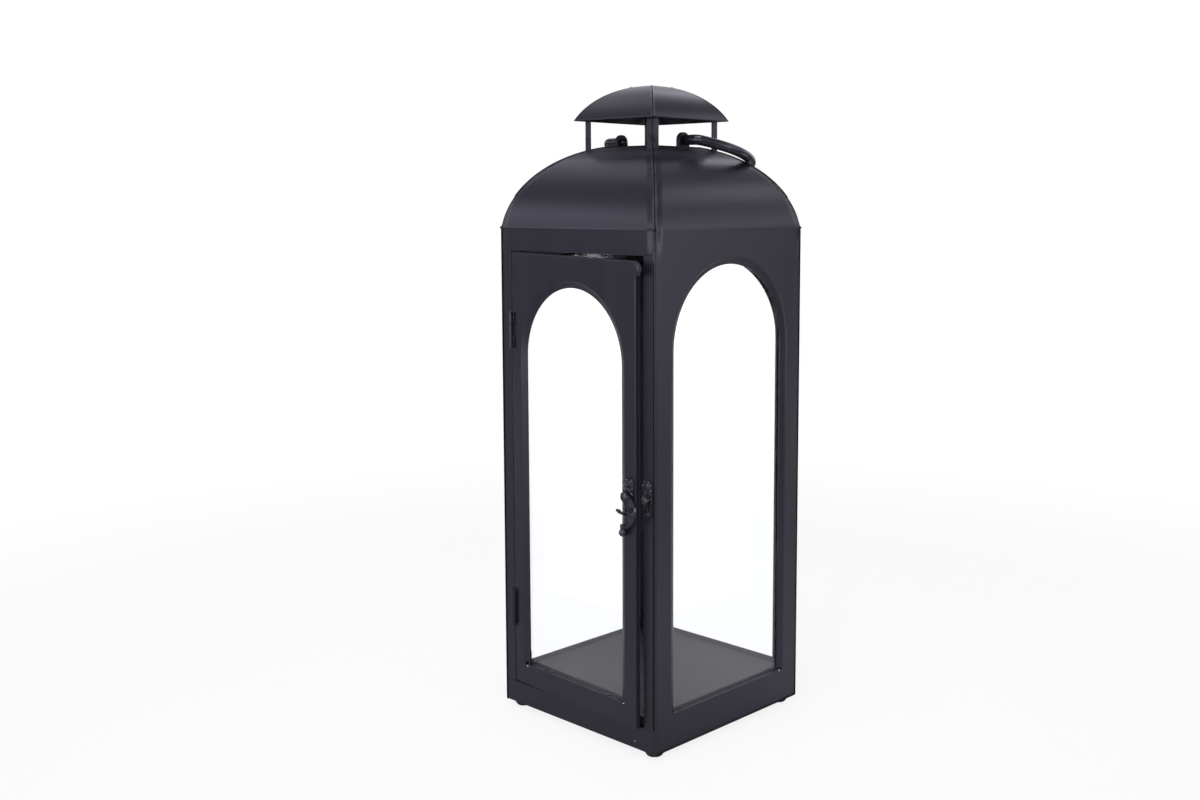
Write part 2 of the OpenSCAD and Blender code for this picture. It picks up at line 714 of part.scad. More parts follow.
// The hook: an eye on the pivot, a round back with a raised rim, two round recesses with a cross
// bar and thumb tongue between them, and a ball at the end. The lower recess takes the post. It
// hangs with its open side towards the hinges.
module latch_hook()
  color(iron) on_door() on_face(0) translate([latch_x, -hook_y, latch_z]) {
    difference() {
      union() {
        slab(-hook_t + 0.6, hook_t - 0.6) {
          circle(eye_r);
          intersection() {
            translate(hook_centre) circle(hook_r - 0.8, $fn = 96);
            translate([-0.5, -2 * hook_r]) square(2.5 * hook_r);
          }
        }
        slab(-hook_t, hook_t) {
          circle(eye_r);
          translate(hook_centre) sector(hook_r - 3.6, hook_r, -100, 98);
          translate([-0.5, bar_z]) square([5.5, bar_h]);
          polygon([hook_centre + [-3.3, 3 - hook_r], hook_centre + [0.7, 1 - hook_r],
                   ball_at + [2.5, 0.8], ball_at + [-2, 0.8]]);
        }
        translate([ball_at[0], -hook_t / 2, ball_at[1]]) sphere(ball_r);
      }
      slab(-hook_t - 1, hook_t + 2) {
        circle(pivot_r + 0.08);
        translate([3.2, bar_z + bar_h + 4.2]) circle(4);
        translate(recess_at) circle(recess_r);
      }
    }
    // the tongue leaves the bar's front square to it and curves up
    translate([-0.3, 0.6 - hook_t, bar_z + bar_h / 2 + tongue_bend]) mirror([0, 1, 0])
      rotate([0, 90, 0]) rotate_extrude(angle = tongue_turn, $fn = 72)
        translate([tongue_bend - tongue_t / 2, 0]) square([tongue_t, tongue_w]);
  }

// Plate on the latch stile: a broad upper part with three bosses, and a narrow tail.
module keeper_plate()
  color(iron) on_face(0) {
    slab(-latch_plate_t, latch_plate_t) translate([(opening_half + inner_w / 2) / 2, 0]) {
      translate([-5.6, post_z - 4]) square([11.2, 12.5]);
      for (x = [-3, 3]) translate([x, post_z + 10.5]) circle(2.9);
      translate([0, post_z + 12.4]) circle(3.6);
      translate([-4.4, post_z - 13]) square([8.8, 13]);
      translate([0, post_z - 13]) circle(4.4);
    }
  }

module keeper_rivets()
  color(iron) on_face(0) translate([(opening_half + inner_w / 2) / 2, -latch_plate_t, post_z])
    for (p = [[0, -13.5], [0, 11.5]])
      translate([p[0], 0, p[1]]) rotate([90, 0, 0])
        cylinder(r1 = 1.9, r2 = 1.2, h = 1, $fn = 24);

// Post that the hook drops over: a neck and a wider head.
module keeper_post()
  color(iron) on_face(0) translate([post_x, -latch_plate_t, post_z]) rotate([90, 0, 0]) {
    cylinder(r = post_neck_r, h = hook_y - latch_plate_t + hook_t + 1);
    translate([0, 0, hook_y - latch_plate_t + hook_t + 0.8]) {
      cylinder(r = post_head_r, h = 1.8);
      translate([0, 0, 1.8]) cylinder(r1 = post_head_r, r2 = post_head_r - 1, h = 1);
    }
  }

right_wall();
left_wall();
back_wall();
door_hood();
hinge_stile();
latch_stile();
door_sill();
candle_floor();
corner_plates();
right_glass();
left_glass();
back_glass();
wall_glass_clips();
cupola_post(0);  // cupola_post_front_right
cupola_post(1);  // cupola_post_back_right
cupola_post(2);  // cupola_post_back_left
cupola_post(3);  // cupola_post_front_left
cap_panel(0);  // cap_front
cap_panel(1);  // cap_right
cap_panel(2);  // cap_back
cap_panel(3);  // cap_left
ear(1);  // right_ear
ear(3);  // left_ear
foot(0);  // foot_front_right
foot(1);  // foot_back_right
foot(2);  // foot_back_left
foot(3);  // foot_front_left
foot_rivets();
lower_frame_leaf();
upper_frame_leaf();
lower_hinge_pin();
upper_hinge_pin();
keeper_plate();
keeper_post();
keeper_rivets();
door_panel();
door_glass();
door_glass_clips();
lower_door_leaf();
upper_door_leaf();
door_stop_tab();
latch_plate();
latch_rivets();
hook_pivot();
latch_hook();
handle_ring();
handle_end_caps();
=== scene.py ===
from math import cos, radians, sin

import bmesh
import bpy
from mathutils import Matrix, Vector


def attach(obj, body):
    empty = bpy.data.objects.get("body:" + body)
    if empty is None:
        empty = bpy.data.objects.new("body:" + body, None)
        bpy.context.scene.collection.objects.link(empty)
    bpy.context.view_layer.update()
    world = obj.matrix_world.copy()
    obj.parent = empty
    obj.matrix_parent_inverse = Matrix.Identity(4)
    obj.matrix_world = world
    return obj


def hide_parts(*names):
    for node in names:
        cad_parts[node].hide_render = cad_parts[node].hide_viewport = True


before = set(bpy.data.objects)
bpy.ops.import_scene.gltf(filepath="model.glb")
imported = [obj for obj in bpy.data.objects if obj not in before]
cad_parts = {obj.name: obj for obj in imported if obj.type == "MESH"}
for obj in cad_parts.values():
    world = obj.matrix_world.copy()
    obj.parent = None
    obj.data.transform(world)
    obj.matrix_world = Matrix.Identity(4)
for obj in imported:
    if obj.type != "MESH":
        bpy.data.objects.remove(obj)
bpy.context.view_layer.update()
scene = bpy.context.scene
MM = 0.001


# ---- View ----
# The lantern is seen from the height of its dome, turned so that its front and its right side show
# about equally. The lens and the place follow the photograph's perspective, on 1200 by 800 pixels.
PHOTO_W, PHOTO_H = 1200, 800
FOCAL_PX = 1317.9
CENTRE_PX = (672.6, 343.7)
AZIMUTH, PITCH, ROLL = radians(42.908), radians(6.141), radians(0.069)
DISTANCE, ASIDE, EYE_HEIGHT = 1248.8 * MM, 20.1 * MM, 487.7 * MM

lens = bpy.data.cameras.new("view")
lens.sensor_width = 36
lens.lens = lens.sensor_width * FOCAL_PX / PHOTO_W
lens.shift_x = (PHOTO_W / 2 - CENTRE_PX[0]) / PHOTO_W
lens.shift_y = (CENTRE_PX[1] - PHOTO_H / 2) / PHOTO_W
camera = bpy.data.objects.new("view", lens)
scene.collection.objects.link(camera)
camera.location = (sin(AZIMUTH) * DISTANCE + cos(AZIMUTH) * ASIDE,
                   -cos(AZIMUTH) * DISTANCE + sin(AZIMUTH) * ASIDE,
                   EYE_HEIGHT)
camera.rotation_euler = (Matrix.Rotation(AZIMUTH, 3, "Z")
                         @ Matrix.Rotation(radians(90) - PITCH, 3, "X")
                         @ Matrix.Rotation(ROLL, 3, "Z")).to_euler()
scene.camera = camera


# ---- Walls ----
# Sheet steel, 1.2 mm thick, pressed, rolled and folded, welded along the corners and the seams of
# the dome, then powder coated in a satin black that leans to violet. The coat has a fine orange
# peel, and its gloss drifts a little from place to place.
class Wire:
    """A value on its way through a tree of nodes."""

    def __init__(self, tree, node, out=0):
        self.tree, self.node, self.socket = tree, node, node.outputs[out]

    def maths(self, operation, *others):
        values = dict(enumerate([self, *others]))
        return self.tree.add("ShaderNodeMath", {"operation": operation}, values)

    def __add__(self, other): return self.maths("ADD", other)
    def __radd__(self, other): return self.maths("ADD", other)
    def __mul__(self, other): return self.maths("MULTIPLY", other)
    def __rmul__(self, other): return self.maths("MULTIPLY", other)
    def __sub__(self, other): return self.maths("SUBTRACT", other)
    def __rsub__(self, other): return (self * -1.0).maths("ADD", other)


class Tree:
    """Nodes of a material or of the world, and the links between them."""

    def __init__(self, node_tree):
        self.tree = node_tree
        self.tree.nodes.clear()

    def add(self, kind, settings=None, values=None, out=0):
        """Adds a node: its settings first, a ramp's stops among them, then its sockets."""
        node = self.tree.nodes.new(kind)
        for key, value in (settings or {}).items():
            if key == "stops":
                ramp = node.color_ramp.elements
                while len(ramp) < len(value):
                    ramp.new(0.5)
                for stop, (where, shade) in zip(ramp, value):
                    stop.position, stop.color = where, (shade, shade, shade, 1)
            else:
                setattr(node, key, value)
        for key, value in (values or {}).items():
            if isinstance(value, Wire):
                self.tree.links.new(value.socket, node.inputs[key])
            else:
                node.inputs[key].default_value = value
        return Wire(self, node, out)

    def end(self, kind, shader):
        self.tree.links.new(shader.socket, self.tree.nodes.new(kind).inputs["Surface"])

    def ramp(self, value, *stops):
        return self.add("ShaderNodeValToRGB", {"stops": stops}, {"Fac": value})

    def mix(self, share, first, second):
        """A colour between two others, each a wire or three numbers."""
        ends = [c if isinstance(c, Wire) else (*c, 1) for c in (first, second)]
        return self.add("ShaderNodeMix", {"data_type": "RGBA"},
                        {"Factor": share, 6: ends[0], 7: ends[1]}, out=2)


class Finish(Tree):
    """A material, built node by node from where the surface lies on the lantern."""

    def __init__(self, name):
        self.material = bpy.data.materials.new(name)
        self.material.use_nodes = True
        super().__init__(self.material.node_tree)
        self.place = self.add("ShaderNodeTexCoord", out="Object")

    def noise(self, scale, detail=2.0, stretch=(1, 1, 1)):
        """Noise from 0 to 1 whose spots are about 1/scale metres across."""
        where = self.add("ShaderNodeMapping", {}, {"Vector": self.place, "Scale": stretch})
        return self.add("ShaderNodeTexNoise", {}, {"Vector": where, "Scale": scale, "Detail": detail})

    def bump(self, height, depth, onto=None):
        """A surface raised by a depth where the height is 1, on top of another bump if one is given."""
        values = {"Height": height, "Distance": depth, "Strength": 1.0}
        if onto:
            values["Normal"] = onto
        return self.add("ShaderNodeBump", {}, values)

    def shade(self, values):
        self.output(self.add("ShaderNodeBsdfPrincipled", {}, values))

    def output(self, shader):
        self.end("ShaderNodeOutputMaterial", shader)


VIOLET_DARK, VIOLET_LIGHT = (0.0105, 0.0098, 0.0150), (0.0165, 0.0155, 0.0225)
VIOLET_SHEEN = (0.90, 0.88, 1.0, 1)
WELD_FOOT, WELD_FULL = 437 * MM, 455 * MM       # the weld of the corners fades in upwards
SOOT_FOOT, SOOT_FULL = 524 * MM, 534 * MM       # so does the soot below the vent
DOME_TOP, CUPOLA_FOOT = 541 * MM, 548 * MM      # soot and sunk welds end under the cupola
STILE_EDGE, STILE_FACE, STILE_FOOT = 98.6 * MM, -99.5 * MM, 28 * MM


def coordinate(finish, axis):
    """How far a point lies along X, Y or Z."""
    return finish.add("ShaderNodeSeparateXYZ", {}, {"Vector": finish.place}, out=axis)


def slope(finish, value, start, end, first=0.0, last=1.0):
    """Goes smoothly from a first to a last number while a value goes from start to end."""
    return finish.add("ShaderNodeMapRange", {"interpolation_type": "SMOOTHSTEP"},
                      {"Value": value, "From Min": start, "From Max": end, "To Min": first, "To Max": last})


def near_seam(coat, reach):
    """1 along the welded and ground corners of the dome and the cap, falling to 0 beside them."""
    across = coordinate(coat, "X").maths("ABSOLUTE") - coordinate(coat, "Y").maths("ABSOLUTE")
    beside = slope(coat, across.maths("ABSOLUTE"), 0.0, reach, 1.0, 0.0)
    return beside * slope(coat, coordinate(coat, "Z"), WELD_FOOT, WELD_FULL)


def stile_gap(coat, width):
    """1 in the open joint between the latch stile and the right wall, 0 elsewhere; painted shade goes
    there.
    """
    height = coordinate(coat, "Z")
    beside = (coordinate(coat, "X") - STILE_EDGE).maths("ABSOLUTE").maths("LESS_THAN", width)
    in_front = coordinate(coat, "Y").maths("LESS_THAN", STILE_FACE)
    above_sill, below_weld = height.maths("GREATER_THAN", STILE_FOOT), height.maths("LESS_THAN", WELD_FOOT)
    return beside * in_front * below_weld * above_sill


def powder_coat(name, roughness, peel_depth, welded=1.0):
    """Satin black that leans to violet; its tone, gloss and orange peel vary over the sheet.

    Its welded corners are sunk a little, and a near black line of painted shade lies along them and along
    the stile's open joint; soot dulls the dome under the vent.
    With welded at 0 the coat is that of a fitting, which has none of these.
    """
    # The last colour is painted shade: a near black laid in the welded seams and the stile's open joint.
    PATCH, SPOT, JOINT_SHADE = (0.0150, 0.0150, 0.0145), (0.045, 0.044, 0.055), (0.002, 0.002, 0.003, 1)
    coat = Finish(name)
    drift = coat.noise(9, 3)
    streaks = coat.noise(130, 2, (1, 1, 0.03))
    spots = coat.ramp(coat.noise(420, 1), (0.70, 0), (0.76, 1))
    patches = coat.ramp(coat.noise(6, 2), (0.4, 0), (0.65, 1))
    height = coordinate(coat, "Z")
    on_dome = slope(coat, height, DOME_TOP, CUPOLA_FOOT, 1.0, 0.0)
    soot = slope(coat, height, SOOT_FOOT, SOOT_FULL) * on_dome * welded
    # Where the painted shade of the seams and the stile's joint lies.
    joint_shade = near_seam(coat, 0.9 * MM).maths("MAXIMUM", stile_gap(coat, 0.75 * MM)) * welded

    colour = coat.mix(streaks, VIOLET_DARK, VIOLET_LIGHT)
    colour = coat.mix(patches * 0.4, colour, PATCH)
    colour = coat.mix(spots * 0.35, colour, SPOT)
    dullness = drift * 0.10 + streaks * 0.06 + soot * 0.35 + (roughness - 0.03)

    drawn_in = (coat.noise(40, 2) - 0.1) * near_seam(coat, 10 * MM) * on_dome
    wave = coat.bump(coat.noise(11, 1), 0.25 * MM)
    sunk = coat.bump(drawn_in, -3.0 * MM * welded, wave)
    weld = coat.bump(coat.noise(260, 2) * near_seam(coat, 3 * MM), 0.9 * MM * welded, sunk)
    peel = coat.bump(coat.noise(1100, 2), peel_depth, weld)

    paint = coat.add("ShaderNodeBsdfPrincipled", {}, {
        "Base Color": colour, "Roughness": dullness, "Specular IOR Level": 0.5,
        "Specular Tint": VIOLET_SHEEN, "Normal": peel})
    # A near black diffuse, mixed in along the seams and the stile's joint, is painted shade.
    shade = coat.add("ShaderNodeBsdfDiffuse", {}, {"Color": JOINT_SHADE})
    coat.output(coat.add("ShaderNodeMixShader", {}, {0: joint_shade * 0.8, 1: paint, 2: shade}))
    return coat.material


KNIFE_EDGE, MITRE_EDGE = radians(100), radians(140)     # turns past which an edge is left as it is
SHARP_EDGE = radians(50)                                # and past which it isn't shaded smooth


def merged(node):
    """A CAD node's mesh as one closed bmesh, without the seams between its flat triangles."""
    bm = bmesh.new()
    bm.from_mesh(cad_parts[node].data)
    bmesh.ops.remove_doubles(bm, verts=bm.verts, dist=0.001 * MM)
    bmesh.ops.dissolve_limit(bm, angle_limit=radians(0.3), verts=bm.verts, edges=bm.edges)
    return bm


def round_edges(bm, radius, chosen=None, segments=2, sharp=radians(40), blunt=KNIFE_EDGE):
    """Rounds the edges whose turn lies between two angles, or those chosen among them."""
    edges = [e for e in bm.edges if len(e.link_faces) == 2 and sharp < e.calc_face_angle() < blunt
             and (chosen is None or chosen(e))]
    bmesh.ops.bevel(bm, geom=edges, offset=radius, offset_type="OFFSET", segments=segments,
                    profile=0.5, affect="EDGES", clamp_overlap=False, material=-1)


def add_piece(name, bm, material, body, slot, *replaced):
    """Makes a piece of a bmesh, with its body and the CAD nodes that it stands for; the slot is not used.
    """
    mesh = bpy.data.meshes.new(name)
    bm.to_mesh(mesh)
    bm.free()
    mesh.polygons.foreach_set("use_smooth", [True] * len(mesh.polygons))
    mesh.set_sharp_from_angle(angle=SHARP_EDGE)
    mesh.materials.append(material)
    piece = bpy.data.objects.new(name, mesh)
    scene.collection.objects.link(piece)
    flats = piece.modifiers.new("flats_stay_flat", "WEIGHTED_NORMAL")
    flats.keep_sharp = True
    if replaced:
        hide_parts(*replaced)
    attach(piece, body)


FOOT_TOP, CREASE = 5.5 * MM, 463.5 * MM
HALF = 100 * MM
NEAR = 0.05 * MM


def is_outer_fold(edge):
    """Whether an edge is an outer corner of the body: its foot, an upright or a seam of the dome."""
    ends = [v.co for v in edge.verts]
    on_side = all(abs(abs(end.x) - HALF) < NEAR for end in ends)
    on_front = all(abs(abs(end.y) - HALF) < NEAR for end in ends)
    along_foot = all(abs(end.z - FOOT_TOP) < NEAR for end in ends) and (on_side or on_front)
    upright = on_side and on_front
    on_dome = all(end.z > CREASE - NEAR and abs(abs(end.x) - abs(end.y)) < NEAR for end in ends)
    outward = edge.calc_face_angle_signed() > 0
    return outward and edge.calc_length() > 1.5 * MM and (along_foot or upright or on_dome)


def is_long(edge):
    """Whether an edge is longer than the sheet is thick, so not an end of a lip or a mitre."""
    return edge.calc_length() > 1.3 * MM


def is_lip_bend(edge):
    """Whether an edge lies where the flat sheet bends in to a window's lip."""
    return radians(15) < edge.calc_face_angle() < radians(35)


black_coat = powder_coat("black_powder_coat", 0.27, 0.010 * MM)
for wall in ("right_wall", "left_wall", "back_wall",
             "door_hood", "door_sill", "hinge_stile", "latch_stile"):
    bm = merged(wall)
    round_edges(bm, 0.9 * MM, is_outer_fold, segments=3, blunt=MITRE_EDGE)
    round_edges(bm, 1.4 * MM, is_lip_bend, segments=4, sharp=radians(15))
    round_edges(bm, 0.35 * MM, is_long)
    add_piece(wall + "_sheet", bm, black_coat, "lantern", "steel_sheet", wall)


# ---- Candle floor ----
# The tray is one sheet too, with skirts that lie against the walls. Its top is never touched by
# a hand, so a little dust lies on it. Plates underneath tie the corners of the walls' folded feet.
def dusty_coat():
    """The coat of the sheet, dulled by a film of dust with some thicker flecks."""
    DUST = (0.055, 0.055, 0.07)
    coat = Finish("dusty_powder_coat")
    drift = coat.noise(14, 3)
    film = coat.ramp(coat.noise(60, 8), (0.45, 0), (0.75, 1)) * 0.2
    flecks = coat.ramp(coat.noise(260, 3), (0.68, 0), (0.74, 1))
    colour = coat.mix(film + flecks * 0.6, coat.mix(drift, VIOLET_DARK, VIOLET_LIGHT), DUST)
    coat.shade({"Base Color": colour, "Roughness": film * 0.25 + 0.5, "Specular IOR Level": 0.1,
                "Specular Tint": VIOLET_SHEEN, "Normal": coat.bump(coat.noise(1100, 2), 0.010 * MM)})
    return coat.material


bm = merged("candle_floor")
round_edges(bm, 0.35 * MM)
add_piece("candle_tray", bm, dusty_coat(), "lantern", "steel_sheet", "candle_floor")
bm = merged("corner_plates")
round_edges(bm, 0.3 * MM)
add_piece("corner_tie_plates", bm, black_coat, "lantern", "steel_sheet", "corner_plates")


# ---- Cupola and cap ----
# Eight straps stand on the dome in pairs and carry the cap, whose four curved panels meet in
# mitred and welded corners. All are of the same sheet and in the same coat as the walls.
CORNERS = "front_right", "back_right", "back_left", "front_left"
for corner in CORNERS:
    bm = merged("cupola_post_" + corner)
    round_edges(bm, 0.3 * MM)
    add_piece("cupola_straps_" + corner, bm, black_coat, "lantern", "steel_sheet", "cupola_post_" + corner)
for side in ("front", "right", "back", "left"):
    bm = merged("cap_" + side)
    round_edges(bm, 0.5 * MM, sharp=KNIFE_EDGE, blunt=MITRE_EDGE)
    round_edges(bm, 0.35 * MM)
    add_piece("cap_panel_" + side, bm, black_coat, "lantern", "steel_sheet", "cap_" + side)


# ---- Handle ----
# A ring bent from steel tube, in the same coat but a shade glossier. Its ends turn in two ears of
# black cast iron, which stand on the dome.
satin = powder_coat("satin_black_fittings", 0.15, 0.004 * MM, welded=0.0)
bm = merged("handle_ring")
add_piece("handle_tube", bm, satin, "handle", "fittings", "handle_ring")
bm = merged("handle_end_caps")
round_edges(bm, 0.4 * MM, segments=3)
add_piece("handle_ends", bm, satin, "handle", "fittings", "handle_end_caps")


def raw_casting():
    """Black cast iron as it comes from the sand, dull and darker than the sheet."""
    iron = Finish("black_cast_iron")
    grain = iron.noise(500, 4)
    iron.shade({"Base Color": iron.mix(grain, (0.006, 0.006, 0.007), (0.014, 0.014, 0.015)),
                "Roughness": grain * 0.2 + 0.42, "Specular IOR Level": 0.35,
                "Normal": iron.bump(grain, 0.08 * MM)})
    return iron.material


iron = raw_casting()
for side in ("right", "left"):
    bm = merged(side + "_ear")
    round_edges(bm, 0.6 * MM, segments=3)
    add_piece(side + "_ear_casting", bm, iron, "lantern", "fittings", side + "_ear")


# ---- Door ----
# The door is pressed like the walls, with its edges folded back. Its tab is a piece of the same
# sheet, spot welded to its top corner and dished a little by the welding.
TAB_DISH, TAB_DISH_RADII = (87.0, -108.95, 431.4), (3.4, 0.75, 5.3)


def add_bead(bm, middle, radii, fineness=3, turn=0.0):
    """A drop of metal with three radii, in millimetres, turned in the plane of the front."""
    place = (Matrix.Translation(Vector(middle) * MM) @ Matrix.Rotation(turn, 4, "Y")
             @ Matrix.Diagonal((*(r * MM for r in radii), 1)))
    bmesh.ops.create_icosphere(bm, subdivisions=fineness, radius=1.0, matrix=place)


def is_door_fold(edge):
    """Whether an edge lies along the fold of the door's rim, on its front."""
    return edge.calc_length() > HALF and any(abs(f.normal.y) > 0.9 and f.calc_area() > 0.01
                                             for f in edge.link_faces)


bm = merged("door_panel")
round_edges(bm, 1.4 * MM, is_lip_bend, segments=4, sharp=radians(15))
round_edges(bm, 1.1 * MM, is_door_fold, segments=4)
round_edges(bm, 0.4 * MM)
add_piece("door_sheet", bm, black_coat, "door", "steel_sheet", "door_panel")
bm = merged("door_stop_tab")
round_edges(bm, 0.4 * MM, segments=3)
add_bead(bm, TAB_DISH, TAB_DISH_RADII, fineness=4)
add_piece("door_tab", bm, black_coat, "door", "steel_sheet", "door_stop_tab")


# ---- Hinges ----
# Pressed leaves rolled round a headed pin. They pass through slots in the stile and in the door,
# and are painted after they are fitted.
LEAVES = {"lower_frame_leaf": "lantern", "upper_frame_leaf": "lantern",
          "lower_door_leaf": "door", "upper_door_leaf": "door"}
for leaf, body in LEAVES.items():
    bm = merged(leaf)
    round_edges(bm, 0.25 * MM)
    add_piece(leaf + "_pressing", bm, satin, body, "fittings", leaf)
for pin in ("lower_hinge_pin", "upper_hinge_pin"):
    bm = merged(pin)
    round_edges(bm, 0.3 * MM, segments=3)
    add_piece(pin + "_turned", bm, satin, "lantern", "fittings", pin)


# ---- Latch ----
# Castings of blackened zinc with soft edges: a hook turns on a plate riveted to the door, and drops
# behind a post on the keeper, which is riveted to the stile. The door's plate has the ribs of a
# leaf, the keeper has bosses round its edge, and the hook has a raised rim. Sizes in millimetres.
CASTINGS = {"latch_plate": "door", "latch_rivets": "door", "hook_pivot": "door", "latch_hook": "hook",
            "keeper_plate": "lantern", "keeper_post": "lantern", "keeper_rivets": "lantern"}
KEEPER_FACE, KEEPER_MIDDLE = -101.5, 240.0
BOSS_HEIGHT, LOW_BOSS_HEIGHT = 1.9, 0.9
PLATE_FACE, PLATE_MIDDLE, AJAR_SLOPE = -109.1, 77, 0.05     # the plate stands ajar with the door
RIB_RADII = 2.9, 0.75, 0.8
# x, z and radius of each boss; x, z and turn in degrees of each rib
KEEPER_BOSSES = [(90.4, 248.0, 1.1), (94.9, 248.1, 1.0), (97.2, 245.0, 1.0), (88.6, 245.2, 1.0),
                 (89.0, 241.6, 1.1), (96.6, 241.4, 1.2), (93.0, 240.6, 1.2), (90.2, 238.2, 1.1),
                 (97.0, 237.8, 1.0), (96.8, 234.4, 0.9), (89.4, 234.2, 0.9)]
LEAF_RIBS = [(74.0, 250.0, 20), (80.2, 249.0, -25), (72.4, 245.6, 25), (80.4, 244.8, -30),
             (77.2, 241.0, 35), (73.0, 240.0, -20), (80.0, 238.0, 30)]


def front_faces(bm, depth):
    """The flat front of a fitting: the faces towards the front, down to a depth."""
    front = min(v.co.y for v in bm.verts)
    return [f for f in bm.faces if f.normal.y < -0.98 and f.calc_center_median().y < front + depth]


def blackened_zinc():
    """Cast zinc turned black, brighter where hands have rubbed it."""
    BLACKENED, RUBBED = (0.045, 0.045, 0.052), (0.11, 0.11, 0.12)
    zinc = Finish("blackened_zinc")
    wear = zinc.noise(350, 3)
    rubbed = zinc.ramp(wear, (0.4, 0), (0.65, 1))
    zinc.shade({"Base Color": zinc.mix(rubbed, BLACKENED, RUBBED), "Metallic": 0.8,
                "Roughness": wear * 0.15 + 0.18, "Normal": zinc.bump(wear, 0.03 * MM)})
    return zinc.material


zinc = blackened_zinc()
for casting, body in CASTINGS.items():
    bm = merged(casting)
    if casting in ("latch_hook", "latch_plate"):
        bmesh.ops.inset_region(bm, faces=front_faces(bm, 3 * MM), thickness=0.8 * MM,
                               depth=-0.35 * MM, use_boundary=True, use_even_offset=True)
        round_edges(bm, 0.15 * MM)
    else:
        round_edges(bm, 0.3 * MM, segments=3)
    if casting == "keeper_plate":
        for x, z, radius in KEEPER_BOSSES:
            height = BOSS_HEIGHT if z > KEEPER_MIDDLE else LOW_BOSS_HEIGHT
            add_bead(bm, (x, KEEPER_FACE, z), (radius, height, radius))
    if casting == "latch_plate":
        for x, z, turn in LEAF_RIBS:
            face = PLATE_FACE + AJAR_SLOPE * (x - PLATE_MIDDLE)
            add_bead(bm, (x, face, z), RIB_RADII, turn=radians(turn))
    add_piece(casting + "_casting", bm, zinc, body, "fittings", casting)


# ---- Glass ----
# Clear float glass, a little over 2 mm thick, in all four sides. Each pane lies behind its window's
# lip and is held there by spring clips bent from steel strip.
def clear_glass():
    """Clear to the eye, and to light too, so that the panes throw hardly any shadow."""
    glass = Finish("clear_glass")
    pane = glass.add("ShaderNodeBsdfPrincipled", {}, {
        "Base Color": (0.985, 0.99, 1.0, 1), "Roughness": 0.0, "IOR": 1.45,
        "Specular IOR Level": 0.3, "Transmission Weight": 1.0})
    shadow = glass.add("ShaderNodeLightPath", out="Is Shadow Ray")
    through = glass.add("ShaderNodeBsdfTransparent", {}, {"Color": (0.96, 0.97, 0.97, 1)})
    glass.output(glass.add("ShaderNodeMixShader", {}, {0: shadow, 1: pane, 2: through}))
    return glass.material


glass = clear_glass()
for pane in ("right_glass", "left_glass", "back_glass", "door_glass"):
    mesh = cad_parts[pane].data
    mesh.materials.clear()
    mesh.materials.append(glass)
for clips, body in (("wall_glass_clips", "lantern"), ("door_glass_clips", "door")):
    bm = merged(clips)
    round_edges(bm, 0.2 * MM)
    add_piece(clips + "_springs", bm, satin, body, "fittings", clips)


# ---- Feet ----
# Black rubber buttons, each held by a rivet through its middle.
def black_rubber():
    """Moulded rubber, greyer where it is scuffed."""
    rubber = Finish("black_rubber")
    scuff = rubber.noise(220, 4)
    rubber.shade({"Base Color": rubber.mix(scuff, (0.010, 0.010, 0.011), (0.024, 0.024, 0.025)),
                  "Roughness": scuff * 0.2 + 0.55,
                  "Normal": rubber.bump(rubber.noise(1500, 2), 0.02 * MM)})
    return rubber.material


rubber = black_rubber()
for corner in CORNERS:
    bm = merged("foot_" + corner)
    round_edges(bm, 0.4 * MM)
    add_piece("foot_button_" + corner, bm, rubber, "lantern", "feet", "foot_" + corner)
bm = merged("foot_rivets")
round_edges(bm, 0.2 * MM)
add_piece("foot_rivets_turned", bm, satin, "lantern", "fittings", "foot_rivets")


# ---- Beads of solder ----
# Small bright drops close the relief holes at the foot of two window lips, and one more has fallen
# on the sill. They are left bare, without the coat.
def bare_solder():
    """Bright tin and lead, a little uneven in its gloss."""
    solder = Finish("bare_solder")
    solder.shade({"Base Color": (0.5, 0.5, 0.53, 1), "Metallic": 1.0,
                  "Roughness": solder.noise(900, 2) * 0.3 + 0.3})
    return solder.material


solder = bare_solder()
DROPS = [("door_bead", "door", (-67.2, -101.0, 46.1), 0.85),
         ("wall_bead", "lantern", (99.9, 73.8, 36.8), 0.8),
         ("sill_bead", "lantern", (75.4, -100.0, 12.4), 0.65)]
for name, body, middle, radius in DROPS:
    bm = bmesh.new()
    add_bead(bm, middle, (radius, radius, radius))
    add_piece(name, bm, solder, body, "fittings")


# ---- Studio ----
# A white floor, a pale backdrop behind the lantern, a lit band round the horizon, and soft lights
# above it and at its sides. The room in front of it, behind the camera, is darker.
BACKDROP_SIDE = (-0.68, 0.73, 0.0)
THROUGH_GLASS = 0.2     # gives back what a pane takes from the white behind it
HORIZON_BAND = (0.02, 0.25), (0.14, 1.10), (0.30, 1.10), (0.42, 0.25)     # height and brightness
COOL = (0.90, 0.90, 1.0)


def backdrop_share(tree, where, low, high):
    """0 in front of the lantern and 1 behind it, on a place or a direction."""
    towards = tree.add("ShaderNodeVectorMath", {"operation": "NORMALIZE"}, {0: where})
    side = tree.add("ShaderNodeVectorMath", {"operation": "DOT_PRODUCT"},
                    {0: towards, 1: BACKDROP_SIDE}, out="Value")
    return tree.add("ShaderNodeMapRange", {}, {"Value": side, "From Min": low, "From Max": high})


def seen_rays(tree, *kinds):
    """1 for rays of any of these kinds."""
    rays = [tree.add("ShaderNodeLightPath", out=kind) for kind in kinds]
    share = rays[0]
    for ray in rays[1:]:
        share = share.maths("MAXIMUM", ray)
    return share


